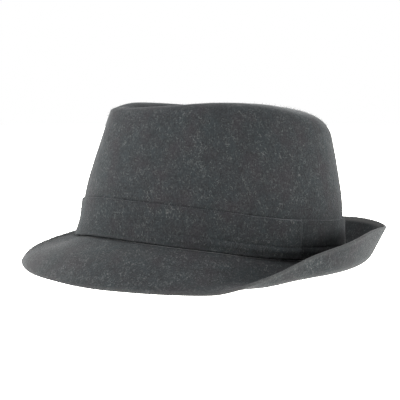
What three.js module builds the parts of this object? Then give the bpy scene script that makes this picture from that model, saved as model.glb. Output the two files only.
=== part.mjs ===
// A trilby in melange wool flannel. The crown has a teardrop dent in its top and rounded shoulders,
// a band of the same cloth goes round its foot, and the brim is snapped down in front and rolled up
// behind. The hat stands on a table as it would by itself, so its front sits a little higher.
//
// Lengths are millimetres and angles are degrees. The front points to -Y, the wearer's left to +X
// and up is +Z. The origin lies on the table, under the middle of the hat. A turn is an angle round
// the head, from 0 at the front over the wearer's left to 180 at the back.

import * as THREE from 'three';

// Head and cloth
const HEAD_LENGTH = 199;
const HEAD_WIDTH = 167;
const CROWN_WALL = 2;
const BAND_WALL = 1.4;
const BRIM_WALL = 2.4;
const CLEARANCE = 0.3;

// Stance on the table
const LEAN = 4.5;
const PRESS_DEPTH = 4.2;
const PRESS_EASE = 0.8;

// Crown, with how far the edge of its top lies inside the seam at its foot
const CROWN_HEIGHT = 109;
const FRONT_RAKE = 17.4;
const BACK_RAKE = 19.9;
const SIDE_RAKE = 21.5;
const WAIST_SHARE = 0.38;
const WAIST_FULLNESS = 0.84;
const DENT_DEPTH = 30;
const DENT_SHIFT = -6;
const DENT_BRINK = 0.25;
const DENT_FLOOR = 0.55;

// Band, with the step where its two ends lap
const BAND_HEIGHT = 29;
const BAND_LIFT = 0.6;
const LAP_TURN = 127;
const LAP_STEP = 0.6;
const LAP_REACH = 40;
const LAP_EDGE = 0.4;

// Brim
const BRIM_WIDTH = 50;
const SEAM_ARCH = 6;
const BEND_SPREAD = 0.7;

// Faces round the head, in each part of the crown's profile and out along the brim
const TURNS = 72;
const WALL_ROWS = 4;
const SHOULDER_ROWS = 4;
const DENT_ROWS = 5;
const BRIM_ROWS = 9;
const BRIM_STEPS = 6;

// Edge of the crown's top, a row for each turn. Left and right are its height on each side of the
// head, as shares of CROWN_HEIGHT. Wide is a share of an oval's width. The shoulder's rounding
// starts at the share down of the wall and ends at the share inward of the way to the dent's middle.
const TOP_EDGE = [
  { turn: 0, left: 0.915, right: 0.915, wide: 0.8, down: 0.036, inward: 0.1 },
  { turn: 30, left: 0.923, right: 0.959, wide: 0.795, down: 0.065, inward: 0.12 },
  { turn: 60, left: 0.961, right: 0.968, wide: 0.883, down: 0.087, inward: 0.15 },
  { turn: 90, left: 1.006, right: 0.968, wide: 0.982, down: 0.1, inward: 0.18 },
  { turn: 120, left: 1.019, right: 0.99, wide: 1.06, down: 0.122, inward: 0.25 },
  { turn: 150, left: 1.008, right: 0.998, wide: 1.095, down: 0.147, inward: 0.36 },
  { turn: 180, left: 1.0, right: 1.0, wide: 1.1, down: 0.182, inward: 0.42 },
];

// Brim, a row for each turn. Seam is its height at the crown, as a share of SEAM_ARCH, and width a
// share of BRIM_WIDTH. It falls from the seam by the angle fall and lifts at its edge by the angle
// left or right, and bend is the share of its width where it is halfway between the two.
const BRIM_FORM = [
  { turn: 0, seam: -0.16, width: 0.985, fall: 18.5, left: -89, right: -89, bend: 0.915 },
  { turn: 35, seam: 0.89, width: 1.005, fall: 23, left: -82, right: -69, bend: 0.75 },
  { turn: 65, seam: 1.15, width: 0.995, fall: 27.5, left: -42, right: -42, bend: 0.7 },
  { turn: 90, seam: 1.03, width: 0.99, fall: 32, left: -19, right: -22, bend: 0.68 },
  { turn: 105, seam: 0.73, width: 0.975, fall: 34, left: 37, right: 13, bend: 0.635 },
  { turn: 120, seam: 0.485, width: 0.93, fall: 31.5, left: 64.5, right: 40, bend: 0.52 },
  { turn: 135, seam: 0.41, width: 0.94, fall: 30, left: 70.5, right: 63, bend: 0.43 },
  { turn: 155, seam: 0.21, width: 0.935, fall: 29, left: 75.5, right: 68, bend: 0.345 },
  { turn: 180, seam: 0, width: 0.955, fall: 31, left: 69, right: 69, bend: 0.295 },
];

const CLOTH = { crown: 0x474b4e, band: 0x3e4043, brim: 0x474b4f };

const { clamp, degToRad, lerp } = THREE.MathUtils;
const turns = Array.from({ length: TURNS }, (_, n) => (n * 360) / TURNS);
const halfLength = HEAD_LENGTH / 2 + CROWN_WALL;
const halfWidth = HEAD_WIDTH / 2 + CROWN_WALL;

// Value of a table's column at any turn, on a smooth line through its rows that is level at the
// front and at the back.
function column(table, name, turn) {
  const place = turn > 180 ? 360 - turn : turn;
  const last = table.length - 1;
  let row = 0;
  while (row < last - 1 && place > table[row + 1].turn) row += 1;
  const [before, from, to, after] = [row - 1, row, row + 1, row + 2].map((n) => {
    if (n < 0) return { at: -table[1].turn, value: table[1][name] };
    if (n > last) return { at: 360 - table[last - 1].turn, value: table[last - 1][name] };
    return { at: table[n].turn, value: table[n][name] };
  });
  const span = to.at - from.at;
  const slopeFrom = ((to.value - before.value) / (to.at - before.at)) * span;
  const slopeTo = ((after.value - from.value) / (after.at - from.at)) * span;
  const t = (place - from.at) / span;
  const s = 1 - t;
  return (
    from.value * (1 + 2 * t) * s * s +
    to.value * (3 - 2 * t) * t * t +
    slopeFrom * t * s * s -
    slopeTo * t * t * s
  );
}

// Level direction straight out from the head.
function outward(turn) {
  const a = degToRad(turn);
  return new THREE.Vector3(Math.sin(a) / halfWidth, -Math.cos(a) / halfLength, 0).normalize();
}

// Seam of the crown and the brim, on the crown's outer face, level with the top of the brim.
function seam(turn) {
  const a = degToRad(turn);
  const rise = SEAM_ARCH * column(BRIM_FORM, 'seam', turn);
  return new THREE.Vector3(halfWidth * Math.sin(a), -halfLength * Math.cos(a), rise);
}

// Corner that the wall and the top would have if the shoulder were sharp.
function topCorner(turn) {
  const a = degToRad(turn);
  const front = FRONT_RAKE - halfLength;
  const back = halfLength - BACK_RAKE;
  return new THREE.Vector3(
    (halfWidth - SIDE_RAKE) * Math.sin(a) * column(TOP_EDGE, 'wide', turn),
    (front + back) / 2 + ((front - back) / 2) * Math.cos(a),
    CROWN_HEIGHT * column(TOP_EDGE, turn > 180 ? 'right' : 'left', turn),
  );
}

// Crown's profile at one turn, up the wall, over the shoulder and down into the dent. The wall is
// upright in its lower part and leans in above it.
function crownProfile(turn) {
  const foot = seam(turn);
  const corner = topCorner(turn);
  const middle = new THREE.Vector3(0, DENT_SHIFT, CROWN_HEIGHT - DENT_DEPTH);
  const waist = foot.clone().lerp(corner, WAIST_SHARE);
  waist.setX(lerp(waist.x, foot.x, WAIST_FULLNESS)).setY(lerp(waist.y, foot.y, WAIST_FULLNESS));
  const wallEnd = corner.clone().lerp(waist, column(TOP_EDGE, 'down', turn) / (1 - WAIST_SHARE));
  const rim = corner.clone().lerp(middle, column(TOP_EDGE, 'inward', turn)).setZ(corner.z);
  const brink = rim.clone().lerp(middle, DENT_BRINK).setZ(rim.z);
  const floor = middle.clone().lerp(rim, DENT_FLOOR).setZ(middle.z);
  return {
    wall: new THREE.CubicBezierCurve3(foot, waist, waist, wallEnd),
    shoulder: new THREE.QuadraticBezierCurve3(wallEnd, corner, rim),
    dent: new THREE.CubicBezierCurve3(rim, brink, floor, middle),
  };
}

// Share of the wall's curve at which it has risen by a height above the seam.
function shareAtHeight(wall, height) {
  const foot = wall.getPoint(0).z;
  let [low, high] = [0, 1];
  for (let step = 0; step < 30; step += 1) {
    const middle = (low + high) / 2;
    if (wall.getPoint(middle).z - foot < height) low = middle;
    else high = middle;
  }
  return low;
}

// Rows of the crown's outer face at one turn, from its cut edge to short of the dent's middle.
function crownRows(turn) {
  const { wall, shoulder, dent } = crownProfile(turn);
  const foot = wall.getPoint(0);
  const bandTop = shareAtHeight(wall, BAND_HEIGHT);
  const rows = [foot.clone().setZ(foot.z - BRIM_WALL), foot];
  rows.push(wall.getPoint(bandTop / 2), wall.getPoint(bandTop));
  for (let row = 1; row <= WALL_ROWS; row += 1) {
    rows.push(wall.getPoint(lerp(bandTop, 1, row / WALL_ROWS)));
  }
  for (let row = 1; row <= SHOULDER_ROWS; row += 1) {
    rows.push(shoulder.getPoint(row / SHOULDER_ROWS));
  }
  for (let row = 1; row < DENT_ROWS; row += 1) rows.push(dent.getPoint(row / DENT_ROWS));
  return rows.map(leaned);
}

// Section of the band at one turn, round its four sides. One end laps over the other, so the cloth
// stands further out up to the lap.
function bandSection(turn) {
  const { wall } = crownProfile(turn);
  const out = outward(turn);
  const before = LAP_TURN - turn;
  const lap = before < 0 ? 0 : LAP_STEP * clamp(1 - before / LAP_REACH, 0, 1);
  const heights = [BAND_LIFT, BAND_HEIGHT / 2, BAND_HEIGHT];
  const inner = heights.map((height) => {
    return wall.getPoint(shareAtHeight(wall, height)).addScaledVector(out, CLEARANCE);
  });
  const outer = inner.map((point) => point.clone().addScaledVector(out, BAND_WALL + lap));
  return [...outer, ...inner.reverse()].map(leaned);
}

// Slope of the brim at a share of its width, in degrees up.
function brimSlope(turn, share) {
  const bend = column(BRIM_FORM, 'bend', turn);
  const t = clamp((share - bend) / BEND_SPREAD + 0.5, 0, 1);
  const edge = column(BRIM_FORM, turn > 180 ? 'right' : 'left', turn);
  return lerp(-column(BRIM_FORM, 'fall', turn), edge, t * t * (3 - 2 * t));
}

// Section of the brim at one turn: its under and upper faces, row by row from the seam to the edge.
function brimSection(turn) {
  const out = outward(turn);
  const step = (BRIM_WIDTH * column(BRIM_FORM, 'width', turn)) / BRIM_ROWS / BRIM_STEPS;
  const point = seam(turn).addScaledVector(out, CLEARANCE);
  point.z -= BRIM_WALL / 2;
  const section = { under: [], upper: [] };
  for (let row = 0; row <= BRIM_ROWS; row += 1) {
    const slope = row ? degToRad(brimSlope(turn, row / BRIM_ROWS)) : 0;
    const half = out.clone().multiplyScalar(-Math.sin(slope)).setZ(Math.cos(slope));
    half.multiplyScalar(BRIM_WALL / 2);
    section.under.push(leaned(point.clone().sub(half)));
    section.upper.push(leaned(point.clone().add(half)));
    for (let piece = 0.5; piece < BRIM_STEPS; piece += 1) {
      const way = degToRad(brimSlope(turn, (row + piece / BRIM_STEPS) / BRIM_ROWS));
      point.addScaledVector(out, step * Math.cos(way));
      point.z += step * Math.sin(way);
    }
  }
  return section;
}

// Leans a point of the hat back, as the hat leans on the table.
function leaned(point) {
  return point.clone().applyAxisAngle(new THREE.Vector3(1, 0, 0), -degToRad(LEAN));
}

// Height above the table at which pressed cloth stops, for a height at which it would hang free.
function pressed(height) {
  if (height <= -PRESS_EASE) return 0;
  if (height >= PRESS_EASE) return height;
  return (height + PRESS_EASE) ** 2 / (4 * PRESS_EASE);
}

// A closed skin made of loops of points, with one point in each loop for each turn.
class Skin {
  points = [];
  faces = [];

  loop(points) {
    const first = this.points.length;
    this.points.push(...points);
    return points.map((_, n) => first + n);
  }

  strip(lower, upper) {
    lower.forEach((corner, n) => {
      const next = (n + 1) % lower.length;
      this.faces.push([corner, lower[next], upper[next]], [corner, upper[next], upper[n]]);
    });
  }

  strips(loops) {
    for (let n = 1; n < loops.length; n += 1) this.strip(loops[n - 1], loops[n]);
  }

  fan(loop, point) {
    const [tip] = this.loop([point]);
    loop.forEach((corner, n) => this.faces.push([corner, loop[(n + 1) % loop.length], tip]));
  }

  // Adds an inner skin behind the faces so far and closes the wall along the first loop.
  thicken(wall, firstLoop) {
    const normals = this.geometry().getAttribute('normal');
    const count = this.points.length;
    const inner = this.points.map((point, n) => {
      const normal = new THREE.Vector3().fromBufferAttribute(normals, n);
      if (n < firstLoop.length) normal.setZ(0).normalize();
      return point.clone().addScaledVector(normal, -wall);
    });
    this.loop(inner);
    this.faces.push(...this.faces.map(([a, b, c]) => [a + count, c + count, b + count]));
    this.strip(firstLoop.map((corner) => corner + count), firstLoop);
  }

  geometry() {
    const geometry = new THREE.BufferGeometry();
    const numbers = this.points.flatMap((point) => point.toArray());
    geometry.setAttribute('position', new THREE.Float32BufferAttribute(numbers, 3));
    geometry.setIndex(this.faces.flat());
    geometry.computeVertexNormals();
    return geometry;
  }
}

// Turns a list of sections into a list of loops round the head.
function loopsOf(sections) {
  return sections[0].map((_, row) => sections.map((section) => section[row]));
}

function crownGeometry() {
  const skin = new Skin();
  const loops = loopsOf(turns.map(crownRows)).map((loop) => skin.loop(loop));
  skin.strips(loops);
  skin.fan(loops.at(-1), leaned(crownProfile(0).dent.getPoint(1)));
  skin.thicken(CROWN_WALL, loops[0]);
  return skin.geometry();
}

function bandGeometry() {
  const skin = new Skin();
  const stops = [...turns, LAP_TURN, LAP_TURN + LAP_EDGE].sort((a, b) => a - b);
  const loops = loopsOf(stops.map(bandSection)).map((loop) => skin.loop(loop));
  skin.strips([...loops, loops[0]]);
  return skin.geometry();
}

function brimGeometry(sections, height) {
  const skin = new Skin();
  const settled = sections.map(({ under, upper }) => {
    const rises = under.map((point) => pressed(point.z + height) - height - point.z);
    const raise = (point, row) => point.clone().setZ(point.z + rises[row]);
    return [...under.map(raise), ...upper.map(raise).reverse()];
  });
  const loops = loopsOf(settled).map((loop) => skin.loop(loop));
  skin.strips([...loops, loops[0]]);
  return skin.geometry();
}

// The seam stands as high as the brim holds it, less what the cloth gives where it rests.
const brimSections = turns.map(brimSection);
const lowest = Math.min(...brimSections.flatMap(({ under }) => under.map((point) => point.z)));
const standing = -lowest - PRESS_DEPTH;

const pieces = {
  crown: crownGeometry(),
  band: bandGeometry(),
  brim: brimGeometry(brimSections, standing),
};

const hat = new THREE.Group();
for (const [name, geometry] of Object.entries(pieces)) {
  const material = new THREE.MeshStandardMaterial({
    color: CLOTH[name],
    roughness: 0.95,
    metalness: 0,
  });
  const mesh = new THREE.Mesh(geometry, material);
  mesh.name = name;
  hat.add(mesh);
}

const middle = new THREE.Box3().setFromObject(hat).getCenter(new THREE.Vector3());
hat.children.forEach((mesh) => mesh.position.set(-middle.x, -middle.y, standing));

export default hat;
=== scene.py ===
import math

import bmesh
import bpy
import numpy as np
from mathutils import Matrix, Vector, noise


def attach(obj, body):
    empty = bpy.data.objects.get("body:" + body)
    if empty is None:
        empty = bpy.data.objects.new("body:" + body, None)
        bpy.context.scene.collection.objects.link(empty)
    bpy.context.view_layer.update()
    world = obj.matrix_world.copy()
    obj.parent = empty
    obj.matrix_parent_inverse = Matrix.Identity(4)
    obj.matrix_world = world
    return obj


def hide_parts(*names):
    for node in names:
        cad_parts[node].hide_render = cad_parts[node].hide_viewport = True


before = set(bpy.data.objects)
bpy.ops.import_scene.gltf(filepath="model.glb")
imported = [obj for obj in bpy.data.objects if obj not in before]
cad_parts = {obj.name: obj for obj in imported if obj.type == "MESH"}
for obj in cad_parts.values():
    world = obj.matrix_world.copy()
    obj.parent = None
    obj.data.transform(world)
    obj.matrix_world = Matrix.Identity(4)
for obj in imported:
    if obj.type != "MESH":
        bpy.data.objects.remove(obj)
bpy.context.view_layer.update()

# A trilby in melange wool flannel, standing on a table by itself. Sizes are millimetres and angles
# are degrees. The front points to -Y, the wearer's left to +X and up is +Z. A turn is an angle
# round the head, from 0 at the front over the wearer's left to 180 at the back. Every cloth surface
# is a grid of points, with a row for each step along a section and a column for each turn.

MM = 0.001

# Points closer than this are one.
MERGE = 0.0002

# Head and cloth
HEAD_LENGTH = 199
HEAD_WIDTH = 167
CROWN_WALL = 2
BAND_WALL = 1.4
BRIM_WALL = 2.4
CLEARANCE = 0.3
HALF_LENGTH = HEAD_LENGTH / 2 + CROWN_WALL
HALF_WIDTH = HEAD_WIDTH / 2 + CROWN_WALL

# Lean back, middle of the seam between crown and brim, and height in which cloth eases off the table
LEAN = 4.5
STANCE = (-0.225, 6.431, 15.672)
PRESS_EASE = 0.8

# Soft unevenness of pressed cloth: width and height of its waves
WAVES = ((46, 0.45), (17, 0.12))

# Crown
CROWN_HEIGHT = 109
FRONT_RAKE = 17.4
BACK_RAKE = 19.9
SIDE_RAKE = 21.5
WAIST_SHARE = 0.38
WAIST_FULLNESS = 0.84
DENT_DEPTH = 30
DENT_SHIFT = -6
DENT_BRINK = 0.25
DENT_FLOOR = 0.55
WALL_ROWS = 60
SHOULDER_ROWS = 26
DENT_ROWS = 44

# Band on the lower share of the wall, with a step and a fold at its lapped end and a flared foot
BAND_HEIGHT = 29
BAND_LIFT = 0.9
BAND_ROUNDING = 0.7
BAND_ROWS = 110
WALL_SHARE = 0.6
WALL_STEPS = 160
LAP_TURN = 127
LAP_STEP = 1.5
LAP_REACH = 40
LAP_EDGE = 0.5
LAP_FOLD = 0.6
FOLD_SETBACK = 1.3
FOLD_REACH = 1.6
FRONT_FLARE = 3.6
FRONT_FLARE_HEIGHT = 20
BACK_FLARE = 3.2
BACK_FLARE_HEIGHT = 40

# Tuck low down on the band between two turns: height, reach and rise of its swell and creases
TUCK_START = 60
TUCK_END = 172
TUCK_EASE = 30
TUCK_FOLDS = ((6.4, 3.4, 0.7), (9.4, 1.2, -0.55), (1, 4, -0.3))

# Brim, with turns counted from the front for the crest, and shares of its width
BRIM_WIDTH = 50
SEAM_ARCH = 6
BEND_SPREAD = 0.7
BRIM_ROWS = 64
STEPS_PER_ROW = 6
EDGE_ROWS = 11
EVEN_SHARE = 0.3
CREST_RISE = 2.0
CREST_TURN = 4
CREST_REACH = 15
CREST_START = 0.12
CREST_FADE = 0.25
CREST_FADE_SPAN = 0.65

# Painted highlight on the brim from 0 to 1, with its turns counted from the front
EDGE_HIGHLIGHT = 0.3
EDGE_HIGHLIGHT_ROWS = 9
ROLL_START = 110
ROLL_EASE = 50
ROLL_HIGHLIGHT_ROWS = 11
TIP_HIGHLIGHT = 0.12
TIP_TURN = 15
TIP_REACH = 60
CREST_HIGHLIGHT = 0.14
CREST_HIGHLIGHT_TURN = 20
CREST_HIGHLIGHT_REACH = 14
CREST_HIGHLIGHT_SHARE = 0.42

# Painted shade from 0 to 1, on the brim between two turns beyond the crest and on the band past its lap, and
# how much closer the nap grows in it
BRIM_PAINTED_SHADE = 0.8
PAINTED_SHADE_START = -35
PAINTED_SHADE_END = 12
BAND_PAINTED_SHADE = 0.5
BAND_PAINTED_SHADE_EASE = 90
SHADE_NAP_CLOSENESS = 8.0

# Wool fibres of the nap, and the room between the lowest of them and the table
FIBRE_RADIUS = 0.02
SHORTEST_FIBRE = 0.5
LONGEST_FIBRE = 1.3
TABLE_GAP = 0.5

# Patterns of the flannel, in waves to a millimetre
FINE_PATTERN = 0.85
GAP_PATTERN = 0.5
DARK_HAIR_PATTERN = 0.36
PALE_HAIR_PATTERN = 0.3
CLUMP_PATTERN = 0.12
PATCH_PATTERN = 0.06

# Tints of the fibres that are spun in
SLATE = (0.88, 1, 1.08)
BLUE_GREEN = (0.76, 1.04, 1.14)
PLUM = (1.1, 0.95, 1.08)
PALE = (0.97, 1, 0.98)

# Turns of the columns, close together at the lap, and the same counted both ways from the front
COLUMN_STEP = 1.25
LAP_COLUMN_STEP = 0.25
near_lap = np.arange(LAP_TURN - 6, LAP_TURN + 4.1, LAP_COLUMN_STEP)
TURN = np.unique(np.concatenate([np.arange(0, 360, COLUMN_STEP), near_lap]))
FROM_FRONT = (TURN + 180) % 360 - 180

# Edge of the crown's top. Left and right are its height as a share of the crown's, wide is its width
# as a share of the raked one, and its rounding goes down the wall and inward over these shares.
TOP_EDGE = {
    "turn": (0, 30, 60, 90, 120, 150, 180),
    "left": (0.915, 0.923, 0.961, 1.006, 1.019, 1.008, 1.0),
    "right": (0.915, 0.959, 0.968, 0.968, 0.99, 0.998, 1.0),
    "wide": (0.8, 0.795, 0.883, 0.982, 1.06, 1.095, 1.1),
    "down": (0.036, 0.065, 0.087, 0.1, 0.122, 0.147, 0.182),
    "inward": (0.1, 0.12, 0.15, 0.18, 0.25, 0.36, 0.42),
}

# Form of the brim. Its seam and width are shares of the arch and the full width, it falls from the
# seam at one slope, ends left and right at another, and bends between them at a share of its width.
BRIM_FORM = {
    "turn": (0, 35, 65, 90, 105, 120, 135, 155, 180),
    "seam": (-0.16, 0.89, 1.15, 1.03, 0.73, 0.485, 0.41, 0.21, 0),
    "width": (0.982, 1.007, 1.004, 0.984, 0.949, 0.891, 0.92, 0.95, 0.972),
    "fall": (18.5, 23, 26, 29, 32, 29.7, 28.7, 28.6, 30.7),
    "left": (-96, -82, -39, -10, 46, 71.5, 72.5, 76, 65),
    "right": (-96, -70, -39, -16, 17, 42, 65, 68, 65),
    "bend": (0.93, 0.74, 0.71, 0.72, 0.69, 0.565, 0.446, 0.347, 0.295),
}


def column(table, name):
    """A table's column at each turn, on a smooth line that is level at the front and the back."""
    at = np.array(table["turn"], float)
    value = np.array(table[name], float)
    before_after = np.concatenate([[-at[1]], at, [360 - at[-2]]])
    around = np.concatenate([[value[1]], value, [value[-2]]])
    slope = (around[2:] - around[:-2]) / (before_after[2:] - before_after[:-2])
    place = np.minimum(TURN, 360 - TURN)
    row = np.clip(np.searchsorted(at, place) - 1, 0, len(at) - 2)
    span = at[row + 1] - at[row]
    t = (place - at[row]) / span
    s = 1 - t
    ends = value[row] * (1 + 2 * t) * s * s + value[row + 1] * (3 - 2 * t) * t * t
    return ends + span * (slope[row] * t * s * s - slope[row + 1] * t * t * s)


def sided(table):
    """The left column on the wearer's left and the right one on the right."""
    return np.where(TURN > 180, column(table, "right"), column(table, "left"))


def eased(share):
    """A share from 0 to 1 that starts and ends gently."""
    share = np.clip(share, 0, 1)
    return share * share * (3 - 2 * share)


def mound(x, middle, reach):
    """A soft bump of height 1 that ends at reach from its middle."""
    return eased(1 - np.abs(x - middle) / reach)


def points(x, y, z):
    """Points or directions from coordinates of any shapes that fit together."""
    return np.stack(np.broadcast_arrays(x, y, z), -1).astype(float)


def blend(a, b, share):
    """Points a share of the way from a to b."""
    return a + (b - a) * np.asarray(share)[..., None]


def bezier(controls, shares):
    """Points on a Bezier line of several controls, a row for each share."""
    rows = [np.broadcast_to(c, (len(shares),) + c.shape) for c in controls]
    t = shares.reshape(len(shares), -1)
    while len(rows) > 1:
        rows = [blend(a, b, t) for a, b in zip(rows, rows[1:])]
    return rows[0]


def outward():
    """Level direction straight out from the head at each turn."""
    a = np.radians(TURN)
    out = points(np.sin(a) / HALF_WIDTH, -np.cos(a) / HALF_LENGTH, 0)
    return out / np.linalg.norm(out, axis=-1, keepdims=True)


def seam():
    """Line on which the crown's foot meets the brim."""
    a = np.radians(TURN)
    rise = SEAM_ARCH * column(BRIM_FORM, "seam")
    return points(HALF_WIDTH * np.sin(a), -HALF_LENGTH * np.cos(a), rise)


def crown_lines():
    """Controls of the wall, the shoulder and the dent."""
    a = np.radians(TURN)
    front, back = FRONT_RAKE - HALF_LENGTH, HALF_LENGTH - BACK_RAKE
    foot = seam()
    corner = points(
        (HALF_WIDTH - SIDE_RAKE) * np.sin(a) * column(TOP_EDGE, "wide"),
        (front + back) / 2 + (front - back) / 2 * np.cos(a),
        CROWN_HEIGHT * sided(TOP_EDGE),
    )
    middle = points(0 * a, DENT_SHIFT, CROWN_HEIGHT - DENT_DEPTH)
    waist = blend(foot, corner, np.full(len(a), WAIST_SHARE))
    waist[:, :2] += (foot - waist)[:, :2] * WAIST_FULLNESS
    wall_end = blend(corner, waist, column(TOP_EDGE, "down") / (1 - WAIST_SHARE))
    rim = blend(corner, middle, column(TOP_EDGE, "inward"))
    rim[:, 2] = corner[:, 2]
    brink = blend(rim, middle, np.full(len(a), DENT_BRINK))
    brink[:, 2] = rim[:, 2]
    floor = blend(middle, rim, np.full(len(a), DENT_FLOOR))
    floor[:, 2] = middle[:, 2]
    wall = (foot, waist, waist, wall_end)
    return wall, (wall_end, corner, rim), (rim, brink, floor, middle)


def placed(grid):
    """Leans the hat back and sets it on the table."""
    a = math.radians(-LEAN)
    x, y, z = np.moveaxis(grid, -1, 0)
    leaned = points(x, y * math.cos(a) - z * math.sin(a), y * math.sin(a) + z * math.cos(a))
    return leaned + STANCE


def normals(grid):
    """Outward directions of a grid, also where its last row is a single point."""
    across = np.roll(grid, -1, 1) - np.roll(grid, 1, 1)
    normal = np.cross(across, np.gradient(grid, axis=0))
    if np.ptp(grid[-1], axis=0).max() < 0.01:
        normal[-1] = normal[-2].mean(0)
    return normal / np.linalg.norm(normal, axis=-1, keepdims=True)


def unevenness(grid):
    """Soft rise and fall of pressed cloth at each point."""
    rise = np.zeros(grid.shape[:-1])
    for width, height in WAVES:
        flat = (grid / width).reshape(-1, 3)
        rise += height * np.array([noise.noise(Vector(p)) for p in flat]).reshape(rise.shape)
    return rise


def grid_mesh(name, grid, closed=False, **marks):
    """A mesh of a grid's quads, round the head and, if closed, round the section too.

    Marks are values from 0 to 1 over the grid that its finish reads.
    """
    rows, across = grid.shape[:2]
    number = np.arange(rows * across).reshape(rows, across)
    here = number if closed else number[:-1]
    above = np.roll(number, -1, 0) if closed else number[1:]
    quads = [here, np.roll(here, -1, 1), np.roll(above, -1, 1), above]
    mesh = bpy.data.meshes.new(name)
    mesh.from_pydata((grid.reshape(-1, 3) * MM).tolist(), [], np.stack(quads, -1).reshape(-1, 4).tolist())
    for mark, value in marks.items():
        spread = np.broadcast_to(value, grid.shape[:2]).astype(np.float32)
        mesh.attributes.new(mark, "FLOAT", "POINT").data.foreach_set("value", spread.ravel())
    cloth = bmesh.new()
    cloth.from_mesh(mesh)
    bmesh.ops.remove_doubles(cloth, verts=cloth.verts, dist=MERGE * MM)
    stray = [edge for edge in cloth.edges if not edge.link_faces]
    bmesh.ops.delete(cloth, geom=stray, context="EDGES")
    cloth.to_mesh(mesh)
    cloth.free()
    mesh.polygons.foreach_set("use_smooth", [True] * len(mesh.polygons))
    return mesh


def crown_grid():
    """Outer face of the crown, from its cut edge to the middle of the dent."""
    wall, shoulder, dent = crown_lines()
    rows = [
        bezier(wall, np.linspace(0, 1, WALL_ROWS)),
        bezier(shoulder, np.linspace(0, 1, SHOULDER_ROWS)[1:]),
        bezier(dent, np.linspace(0, 1, DENT_ROWS)[1:]),
    ]
    grid = placed(np.concatenate([wall[0][None] - (0, 0, BRIM_WALL), *rows]))
    return grid + normals(grid) * unevenness(grid)[..., None]


def crown():
    """Closed section of the crown at each turn, up its outer face and back along its inner one."""
    outer = crown_grid()
    inner = outer - normals(outer) * CROWN_WALL
    return np.concatenate([outer, inner[::-1]])


def band():
    """Closed section of the band at each turn, up its outer face and down its inner one."""
    (wall, _, _), out = crown_lines(), outward()
    heights = BAND_LIFT + (BAND_HEIGHT - BAND_LIFT) * (1 - np.cos(np.linspace(0, np.pi, BAND_ROWS))) / 2
    shares = np.linspace(0, WALL_SHARE, WALL_STEPS)
    line = bezier(wall, shares)
    rise = line[..., 2] - line[0, :, 2]
    share = np.stack([np.interp(heights, rise[:, n], shares) for n in range(len(TURN))], 1)
    face = bezier(wall, share)
    before = LAP_TURN - TURN
    lap = LAP_STEP * np.where(before < 0, 1 - eased(-before / LAP_EDGE), eased(1 - before / LAP_REACH))
    edge = np.minimum(heights - BAND_LIFT, BAND_HEIGHT - heights)[:, None]
    thick = (BAND_WALL + lap) * np.sqrt(1 - (1 - np.clip(edge / BAND_ROUNDING, 0, 1)) ** 2)
    middle = CLEARANCE + (BAND_WALL + lap) / 2
    h = heights[:, None]
    along = eased((TURN - TUCK_START) / TUCK_EASE) * eased((TUCK_END - TURN) / TUCK_EASE)
    tuck = along * sum(swell * mound(h, height, reach) for height, reach, swell in TUCK_FOLDS)
    fold = LAP_FOLD * mound(TURN, LAP_TURN - FOLD_SETBACK, FOLD_REACH)
    ahead = np.cos(np.radians(TURN))
    front = FRONT_FLARE * np.clip(ahead, 0, 1) ** 2 * np.clip(1 - h / FRONT_FLARE_HEIGHT, 0, 1) ** 2
    back = BACK_FLARE * np.clip(-ahead, 0, 1) ** 2 * np.clip(1 - h / BACK_FLARE_HEIGHT, 0, 1) ** 2
    face = face + out * front[..., None]
    relief = (tuck + fold + back) * np.minimum(edge, 1)
    outer = face + out * (middle + thick / 2 + relief)[..., None]
    inner = face + out * (middle - thick / 2)[..., None]
    grid = placed(np.concatenate([outer, inner[-2:0:-1]]))
    base = placed(np.concatenate([face, face[-2:0:-1]]))
    return grid + out * unevenness(base)[..., None]


def brim():
    """Closed section of the brim at each turn, out along its under face and back on its upper one."""
    out = outward()
    steps = BRIM_ROWS * STEPS_PER_ROW
    share = (np.arange(steps) + 0.5)[:, None] / steps
    bend, fall, edge = column(BRIM_FORM, "bend"), column(BRIM_FORM, "fall"), sided(BRIM_FORM)

    def slope(at):
        """Slope of the brim at a share of its width."""
        return np.radians(-fall + (edge + fall) * eased((at - bend) / BEND_SPREAD + 0.5))

    step = BRIM_WIDTH * column(BRIM_FORM, "width") / steps
    way = slope(share)
    run = np.concatenate([0 * step[None], np.cumsum(step * np.cos(way), 0)])[::STEPS_PER_ROW]
    rise = np.concatenate([0 * step[None], np.cumsum(step * np.sin(way), 0)])[::STEPS_PER_ROW]
    middle = seam() - (0, 0, BRIM_WALL / 2) + out * (CLEARANCE + run)[..., None]
    middle[..., 2] += rise
    at = np.linspace(0, 1, BRIM_ROWS + 1)[:, None]
    crest = CREST_RISE * mound(FROM_FRONT, CREST_TURN, CREST_REACH)
    middle[..., 2] += crest * eased(at / CREST_START) * (1 - eased((at - CREST_FADE) / CREST_FADE_SPAN))
    turn_up = slope(at)
    turn_up[0] = 0

    def offset(angle, size):
        """A step of a size in the section's plane, at an angle above straight out."""
        return out * (size * np.cos(angle))[..., None] + points(0, 0, size * np.sin(angle))

    half = BRIM_WALL / 2
    under = middle + offset(turn_up - np.pi / 2, half)
    upper = middle + offset(turn_up + np.pi / 2, half)
    round_edge = np.linspace(-np.pi / 2, np.pi / 2, EDGE_ROWS)[1:-1, None]
    cap = middle[-1] + offset(turn_up[-1] + round_edge, half)
    grid = placed(np.concatenate([under, cap, upper[::-1]]))
    core = placed(middle)
    swell = normals(core) * (unevenness(core) * eased(at / EVEN_SHARE))[..., None]
    grid += np.concatenate([swell, np.broadcast_to(swell[-1], cap.shape), swell[::-1]])
    below = grid[: BRIM_ROWS + 1, :, 2]
    height = np.concatenate([below, grid[BRIM_ROWS + 1 : -BRIM_ROWS - 1, :, 2], below[::-1]])
    soft = (np.clip(height, -PRESS_EASE, PRESS_EASE) + PRESS_EASE) ** 2 / (4 * PRESS_EASE)
    grid[..., 2] += np.where(height < PRESS_EASE, soft - height, 0)
    return grid


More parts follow.
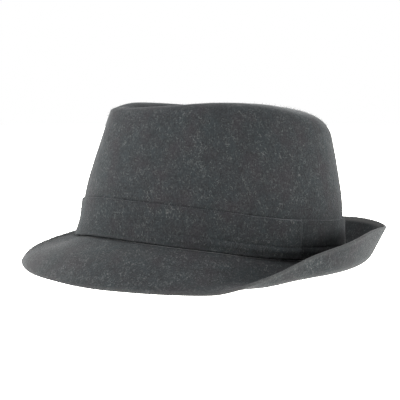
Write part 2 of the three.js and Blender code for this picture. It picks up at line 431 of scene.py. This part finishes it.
def brim_painted_light():
    """Where the brim is painted paler as a highlight and darker as a shade, over its grid.

    The painted highlight is along the edge, most at the inner side of the rolled one, at the tip in front
    and beside the crest. The painted shade is on the far side of the crest.
    """
    count = 2 * (BRIM_ROWS + 1) + EDGE_ROWS - 2
    row = np.arange(count)[:, None]
    past = row - count // 2
    upper = past > 0
    at = np.clip((count - 1 - row) / (BRIM_ROWS + 1), 0, 1)
    # Painted highlights: along the edge, at the inner side of the rolled back, at the tip and beside the
    # crest
    edge = EDGE_HIGHLIGHT * mound(past, 0, EDGE_HIGHLIGHT_ROWS)
    behind = eased((np.abs(FROM_FRONT) - ROLL_START) / ROLL_EASE)
    rolled = behind * eased(past / 2) * eased((ROLL_HIGHLIGHT_ROWS - past) / 4)
    tip = TIP_HIGHLIGHT * upper * mound(FROM_FRONT, TIP_TURN, TIP_REACH) * eased(at / 0.5)
    crest = CREST_HIGHLIGHT * upper * mound(FROM_FRONT, CREST_HIGHLIGHT_TURN, CREST_HIGHLIGHT_REACH)
    crest = crest * mound(at, CREST_HIGHLIGHT_SHARE, 0.5)
    # Painted shade on the far side of the crest
    turned = BRIM_PAINTED_SHADE * upper * eased((PAINTED_SHADE_END - FROM_FRONT) / 6)
    turned = turned * eased((FROM_FRONT - PAINTED_SHADE_START) / 20) * eased((1 - at) / 0.25)
    return np.clip(edge + rolled + tip + crest, 0, 1), turned


def piece(name, mesh, *nodes, finish, slot):
    """Adds a piece of the hat, which stands for the CAD nodes that are named."""
    made = bpy.data.objects.new(name, mesh)
    bpy.context.collection.objects.link(made)
    mesh.materials.clear()
    mesh.materials.append(finish)
    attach(made, "root")
    if nodes:
        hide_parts(*nodes)


class Nodes:
    """Adds nodes to a tree and links them."""

    def __init__(self, tree):
        self.tree = tree

    def add(self, kind, *values, settings=None, **named):
        node = self.tree.nodes.new(kind)
        for key, value in (settings or {}).items():
            setattr(node, key, value)
        for key, value in [*enumerate(values), *named.items()]:
            socket = node.inputs[key if isinstance(key, int) else key.replace("_", " ")]
            if isinstance(value, bpy.types.NodeSocket):
                self.tree.links.new(value, socket)
            elif value is not None:
                socket.default_value = value
        return node

    def maths(self, operation, *values):
        return self.add("ShaderNodeMath", *values, settings={"operation": operation}).outputs[0]

    def ramp(self, value, low, high, start=0.0, end=1.0):
        return self.add("ShaderNodeMapRange", value, low, high, start, end).outputs[0]

    def mix(self, share, a, b, kind="MIX"):
        node = self.add("ShaderNodeMix", settings={"data_type": "RGBA", "blend_type": kind})
        for socket, value in zip([node.inputs[0], node.inputs[6], node.inputs[7]], [share, a, b]):
            if isinstance(value, bpy.types.NodeSocket):
                self.tree.links.new(value, socket)
            else:
                socket.default_value = value
        return node.outputs[2]

    def noise(self, place, scale, detail, roughness, distortion=0.0):
        node = self.add("ShaderNodeTexNoise", Vector=place, Scale=scale, Detail=detail,
                        Roughness=roughness, Distortion=distortion)
        return node.outputs["Fac"]


def grey(value, tint=(1.0, 1.0, 1.0)):
    """A colour from its lightness and a tint."""
    return (*(value * t for t in tint), 1.0)


def flannel(name, tone, curls):
    """Milled wool flannel: dark fibres with paler, plum and blue-green ones spun in.

    Curls says how many times as pale as the rest its palest fibres are. The cloth is painted paler
    as a highlight and darker as a shade where a piece is marked so.
    """
    finish = bpy.data.materials.new(name)
    finish.use_nodes = True
    tree = finish.node_tree
    tree.nodes.clear()
    n = Nodes(tree)
    place = n.add("ShaderNodeTexCoord").outputs["Object"]
    place = n.add("ShaderNodeMapping", place, Scale=(1000, 1000, 800)).outputs[0]
    fine = n.noise(place, FINE_PATTERN, 3.0, 0.6)
    clumps = n.noise(place, CLUMP_PATTERN, 3.0, 0.65)
    patches = n.noise(place, PATCH_PATTERN, 3.0, 0.55)
    gaps = n.noise(place, GAP_PATTERN, 2.0, 0.6)

    def hairs(scale, width):
        """Short curled lines, where one noise is near its middle and another leaves no gap."""
        off = n.maths("ABSOLUTE", n.maths("SUBTRACT", n.noise(place, scale, 2.0, 0.5, 1.5), 0.5))
        return n.maths("MULTIPLY", n.ramp(off, width, width * 0.4), n.ramp(gaps, 0.45, 0.52))

    def lighter_or_darker(cloth, low, high, value):
        """The cloth's colour times a number from low to high that follows a noise."""
        shade = n.ramp(value, 0.3, 0.7, low, high)
        return n.mix(1.0, cloth, n.add("ShaderNodeCombineColor", shade, shade, shade).outputs[0], "MULTIPLY")

    dark, light = (grey(tone * share, SLATE) for share in (0.7, 1.3))
    cloth = n.mix(n.ramp(fine, 0.3, 0.7), dark, light)
    cloth = n.mix(n.ramp(patches, 0.5, 0.64, 0.0, 0.4), cloth, grey(tone, BLUE_GREEN))
    cloth = n.mix(n.ramp(patches, 0.48, 0.34, 0.0, 0.45), cloth, grey(tone, PLUM))
    cloth = lighter_or_darker(cloth, 0.88, 1.12, fine)
    cloth = lighter_or_darker(cloth, 0.9, 1.1, clumps)
    strength = n.ramp(clumps, 0.4, 0.6, 0.35, 0.85)
    pale_hairs = n.maths("MULTIPLY", hairs(PALE_HAIR_PATTERN, 0.032), strength)
    cloth = n.mix(pale_hairs, cloth, grey(tone * curls, PALE))
    dark_hairs = n.maths("MULTIPLY", hairs(DARK_HAIR_PATTERN, 0.03), 0.6)
    cloth = n.mix(dark_hairs, cloth, grey(tone * 0.3))
    # Painted highlight: paler cloth where a piece is marked with it
    worn = n.add("ShaderNodeAttribute", settings={"attribute_name": "worn"}).outputs["Fac"]
    cloth = n.mix(worn, cloth, grey(tone * 5, (1, 1, 0.99)))
    # Painted shade: darker cloth where a piece is marked with it
    turned = n.add("ShaderNodeAttribute", settings={"attribute_name": "turned"}).outputs["Fac"]
    cloth = n.mix(n.maths("MULTIPLY", turned, 0.4), cloth, grey(0.0))
    relief = n.maths("ADD", fine, n.maths("MULTIPLY", clumps, 0.6))
    bump = n.add("ShaderNodeBump", Strength=0.5, Distance=0.0006, Height=relief).outputs[0]
    shader = n.add("ShaderNodeBsdfPrincipled", Base_Color=cloth, Roughness=0.95, Normal=bump)
    shader.inputs["Specular IOR Level"].default_value = 0.1
    shader.inputs["Sheen Weight"].default_value = 0.14
    shader.inputs["Sheen Roughness"].default_value = 0.3
    shader.inputs["Sheen Tint"].default_value = grey(0.75, (0.98, 1, 1.02))
    n.add("ShaderNodeOutputMaterial", shader.outputs[0])
    return finish


crown_cloth = flannel("crown_flannel", tone=0.0125, curls=3.6)
band_cloth = flannel("band_flannel", tone=0.0122, curls=3.6)
brim_cloth = flannel("brim_flannel", tone=0.0127, curls=4.4)

crown_shape, band_shape, brim_shape = crown(), band(), brim()
brim_worn, brim_turned = brim_painted_light()
# Painted shade on the band past its lap, fading towards the back
shade_past_lap = BAND_PAINTED_SHADE - BAND_PAINTED_SHADE * eased((TURN - LAP_TURN) / BAND_PAINTED_SHADE_EASE)
band_turned = np.where(TURN > LAP_TURN, shade_past_lap, 0)
piece("crown_shell", grid_mesh("crown_shell", crown_shape, closed=True), "crown",
      finish=crown_cloth, slot="crown_cloth")
piece("band_strip", grid_mesh("band_strip", band_shape, closed=True, turned=band_turned), "band",
      finish=band_cloth, slot="band_cloth")
piece("brim_shell", grid_mesh("brim_shell", brim_shape, closed=True, worn=brim_worn, turned=brim_turned),
      "brim", finish=brim_cloth, slot="brim_cloth")


def nap_tree():
    """Short curled fibres that stand out of cloth, each with a shade of its own.

    They stand closer together where the cloth is marked with painted shade, their dark mass adding to it.
    """
    tree = bpy.data.node_groups.new("cloth_nap", "GeometryNodeTree")
    sockets = [("Cloth", "Geometry"), ("Count per square metre", "Float"), ("Length", "Float"),
               ("Thickness", "Float"), ("Lowest root", "Float"), ("Seed", "Int"), ("Finish", "Material")]
    for label, kind in sockets:
        tree.interface.new_socket(label, in_out="INPUT", socket_type="NodeSocket" + kind)
    tree.interface.new_socket("Nap", in_out="OUTPUT", socket_type="NodeSocketGeometry")
    n = Nodes(tree)
    given = n.add("NodeGroupInput").outputs
    cloth, count, length, thickness, lowest, seed, finish = (given[label] for label, _ in sockets)
    height = n.add("ShaderNodeSeparateXYZ", n.add("GeometryNodeInputPosition").outputs[0]).outputs[2]
    # Painted shade packs the dark fibres closer
    turned = n.add("GeometryNodeInputNamedAttribute", "turned", settings={"data_type": "FLOAT"}).outputs[0]
    closer = n.maths("MULTIPLY_ADD", turned, SHADE_NAP_CLOSENESS, 1.0)
    roots = n.add("GeometryNodeDistributePointsOnFaces", Mesh=cloth, Seed=seed,
                  Density=n.maths("MULTIPLY", count, closer),
                  Selection=n.maths("GREATER_THAN", height, lowest))

    def along(x, z):
        """A point on a fibre, at shares of its length across and up."""
        far = [n.maths("MULTIPLY", length, share) for share in (x, z)]
        return n.add("ShaderNodeCombineXYZ", far[0], 0.0, far[1]).outputs[0]

    line = n.add("GeometryNodeCurveQuadraticBezier", Resolution=2, Start=(0, 0, -0.0002),
                 Middle=along(0.05, 0.6), End=along(0.85, 0.75)).outputs[0]
    ring = n.add("GeometryNodeCurvePrimitiveCircle", Resolution=3, Radius=thickness).outputs[0]
    fibre = n.add("GeometryNodeCurveToMesh", line, ring, Fill_Caps=True).outputs[0]
    spin = n.add("FunctionNodeRandomValue", (-0.5, -0.5, 0.0), (0.5, 0.5, 6.28), Seed=seed,
                 settings={"data_type": "FLOAT_VECTOR"}).outputs["Value"]
    turn = n.add("FunctionNodeEulerToRotation", spin).outputs[0]
    turn = n.add("FunctionNodeRotateRotation", roots.outputs["Rotation"], turn,
                 settings={"rotation_space": "LOCAL"}).outputs[0]

    def chance(low, high, shift):
        """A random number for each fibre, drawn with a seed of its own."""
        node = n.add("FunctionNodeRandomValue", settings={"data_type": "FLOAT"})
        node.inputs[2].default_value, node.inputs[3].default_value = low, high
        tree.links.new(n.maths("ADD", seed, shift), node.inputs["Seed"])
        return node.outputs[1]

    hair = n.add("GeometryNodeInstanceOnPoints", Points=roots.outputs["Points"], Instance=fibre,
                 Rotation=turn, Scale=chance(SHORTEST_FIBRE, LONGEST_FIBRE, 1.0)).outputs[0]
    hair = n.add("GeometryNodeStoreNamedAttribute", hair, None, "shade",
                 settings={"data_type": "FLOAT", "domain": "INSTANCE"})
    tree.links.new(chance(0.0, 1.0, 2.0), hair.inputs["Value"])
    solid = n.add("GeometryNodeRealizeInstances", hair.outputs[0]).outputs[0]
    solid = n.add("GeometryNodeSetMaterial", solid, Material=finish).outputs[0]
    n.add("NodeGroupOutput", solid)
    return tree


def nap(name, grid, turned, count, length, seed, finish, slot):
    """Grows a nap on a grid of cloth and adds it as a piece."""
    carrier = bpy.data.objects.new(name + "_carrier", grid_mesh(name + "_carrier", grid, turned=turned))
    bpy.context.collection.objects.link(carrier)
    grow = carrier.modifiers.new("nap", "NODES")
    grow.node_group = nap_tree()
    lowest = LONGEST_FIBRE * length + TABLE_GAP
    wanted = {"Count per square metre": count, "Length": length * MM, "Thickness": FIBRE_RADIUS * MM,
              "Lowest root": lowest * MM, "Seed": seed, "Finish": finish}
    for item in grow.node_group.interface.items_tree:
        if item.name in wanted:
            grow[item.identifier] = wanted[item.name]
    grown = carrier.evaluated_get(bpy.context.evaluated_depsgraph_get())
    mesh = bpy.data.meshes.new_from_object(grown)
    mesh.name = name
    bpy.data.objects.remove(carrier)
    piece(name, mesh, finish=finish, slot=slot)


def loose_fibre(name, tone):
    """Single wool fibres, most of them dark and some blue-green, rusty or pale."""
    finish = bpy.data.materials.new(name)
    finish.use_nodes = True
    tree = finish.node_tree
    tree.nodes.clear()
    n = Nodes(tree)
    shade = n.add("ShaderNodeAttribute", settings={"attribute_name": "shade"}).outputs["Fac"]
    ramp = n.add("ShaderNodeValToRGB", shade)
    kinds = [
        (0.0, 0.6, (1, 1, 1)),
        (0.5, 1.1, (0.92, 1, 1.05)),
        (0.75, 1.5, (0.75, 1.05, 1.1)),
        (0.87, 1.4, (1.2, 0.95, 0.95)),
        (0.92, 3.0, (0.95, 1, 0.98)),
    ]
    shades = ramp.color_ramp
    shades.interpolation = "CONSTANT"
    while len(shades.elements) < len(kinds):
        shades.elements.new(0.5)
    for element, (start, value, tint) in zip(shades.elements, kinds):
        element.position = start
        element.color = grey(tone * value, tint)
    shader = n.add("ShaderNodeBsdfPrincipled", Base_Color=ramp.outputs[0], Roughness=0.9)
    shader.inputs["Specular IOR Level"].default_value = 0.1
    n.add("ShaderNodeOutputMaterial", shader.outputs[0])
    return finish


# Fibres for each square metre of cloth, the painted shade that packs them closer, their length and
# their seed. They grow on the faces that show, in rows that keep clear of the band's edges and the brim's
# seam.
fibre_finish = loose_fibre("wool_fibre", tone=0.0155)
crown_faces = slice(2, len(crown_shape) // 2, 2)
band_faces = slice(4, BAND_ROWS - 4, 4)
brim_faces = slice(len(brim_shape) // 2 - 12, len(brim_shape) - 4, 2)
for name, grid, turned, count, length, seed in [
    ("crown", crown_shape[crown_faces], 0, 115000, 1.4, 3),
    ("band", band_shape[band_faces], 0, 180000, 1.1, 5),
    ("brim", brim_shape[brim_faces], brim_turned[brim_faces], 150000, 1.4, 7),
]:
    nap(name + "_nap", grid, turned, count, length, seed, fibre_finish, name + "_cloth")


def plain(name, shade, glow):
    """A plain matt surface that shines by itself, as a lit studio sweep does."""
    finish = bpy.data.materials.new(name)
    finish.use_nodes = True
    shader = finish.node_tree.nodes["Principled BSDF"]
    shader.inputs["Base Color"].default_value = grey(shade)
    shader.inputs["Roughness"].default_value = 0.9
    shader.inputs["Specular IOR Level"].default_value = 0.1
    shader.inputs["Emission Color"].default_value = grey(1.0, (1.0, 0.98, 0.93))
    shader.inputs["Emission Strength"].default_value = glow
    return finish


# Studio, with places in metres: table, middle of the hat that the lamps face, and camera
TABLE_HALF = 4
TABLE_GLOW = 2.99
HAT_MIDDLE = (0, 0, 0.06)
CAMERA_PLACE = (0.75, -0.0017, 0.127)
CAMERA_DROP = 5.9
CAMERA_LENS = 87.03

corners = [(TABLE_HALF * x, TABLE_HALF * y, 0) for x, y in ((-1, -1), (1, -1), (1, 1), (-1, 1))]
table = bpy.data.meshes.new("table")
table.from_pydata(corners, [], [(0, 1, 2, 3)])
table.materials.append(plain("table_white", shade=0.85, glow=TABLE_GLOW))
table_object = bpy.data.objects.new("table", table)
bpy.context.collection.objects.link(table_object)


def facing(thing, target):
    """Points a lamp or the camera at a place."""
    thing.rotation_mode = "QUATERNION"
    thing.rotation_quaternion = (Vector(target) - thing.location).to_track_quat("-Z", "Y")


def softbox(name, place, size, power):
    """A large soft square lamp that faces the hat."""
    lamp = bpy.data.lights.new(name, "AREA")
    lamp.shape = "SQUARE"
    lamp.size = size
    lamp.energy = power
    thing = bpy.data.objects.new(name, lamp)
    bpy.context.collection.objects.link(thing)
    thing.location = place
    facing(thing, HAT_MIDDLE)


# Lamps, with left and right as the camera sees them: place and size in metres, power in watts
for name, place, size, power in [
    ("softbox_left", (0, -1.3, 0.95), 0.7, 13.8),
    ("softbox_left_near", (0.75, -1.1, 0.95), 0.7, 32),
    ("softbox_left_far", (-0.7, -1.1, 0.95), 0.7, 21),
    ("softbox_right_low", (0, 1.4, 0.1), 0.5, 47),
    ("softbox_right_near", (0.95, 1.25, 0.5), 0.7, 3),
    ("softbox_top", (0, 0, 1.6), 0.7, 17),
]:
    softbox(name, place, size, power)

world = bpy.data.worlds.new("studio")
world.use_nodes = True
world.node_tree.nodes["Background"].inputs["Color"].default_value = grey(1.0)
world.node_tree.nodes["Background"].inputs["Strength"].default_value = 1.0
bpy.context.scene.world = world
bpy.context.scene.view_settings.view_transform = "Standard"

# Camera on the wearer's left, level with the top of the crown, with a long lens that looks down a little
camera_data = bpy.data.cameras.new("camera")
camera_data.sensor_width = 36
camera_data.lens = CAMERA_LENS
camera = bpy.data.objects.new("camera", camera_data)
bpy.context.collection.objects.link(camera)
camera.location = CAMERA_PLACE
drop = math.radians(CAMERA_DROP)
facing(camera, camera.location + Vector((-math.cos(drop), 0, -math.sin(drop))))
bpy.context.scene.camera = camera
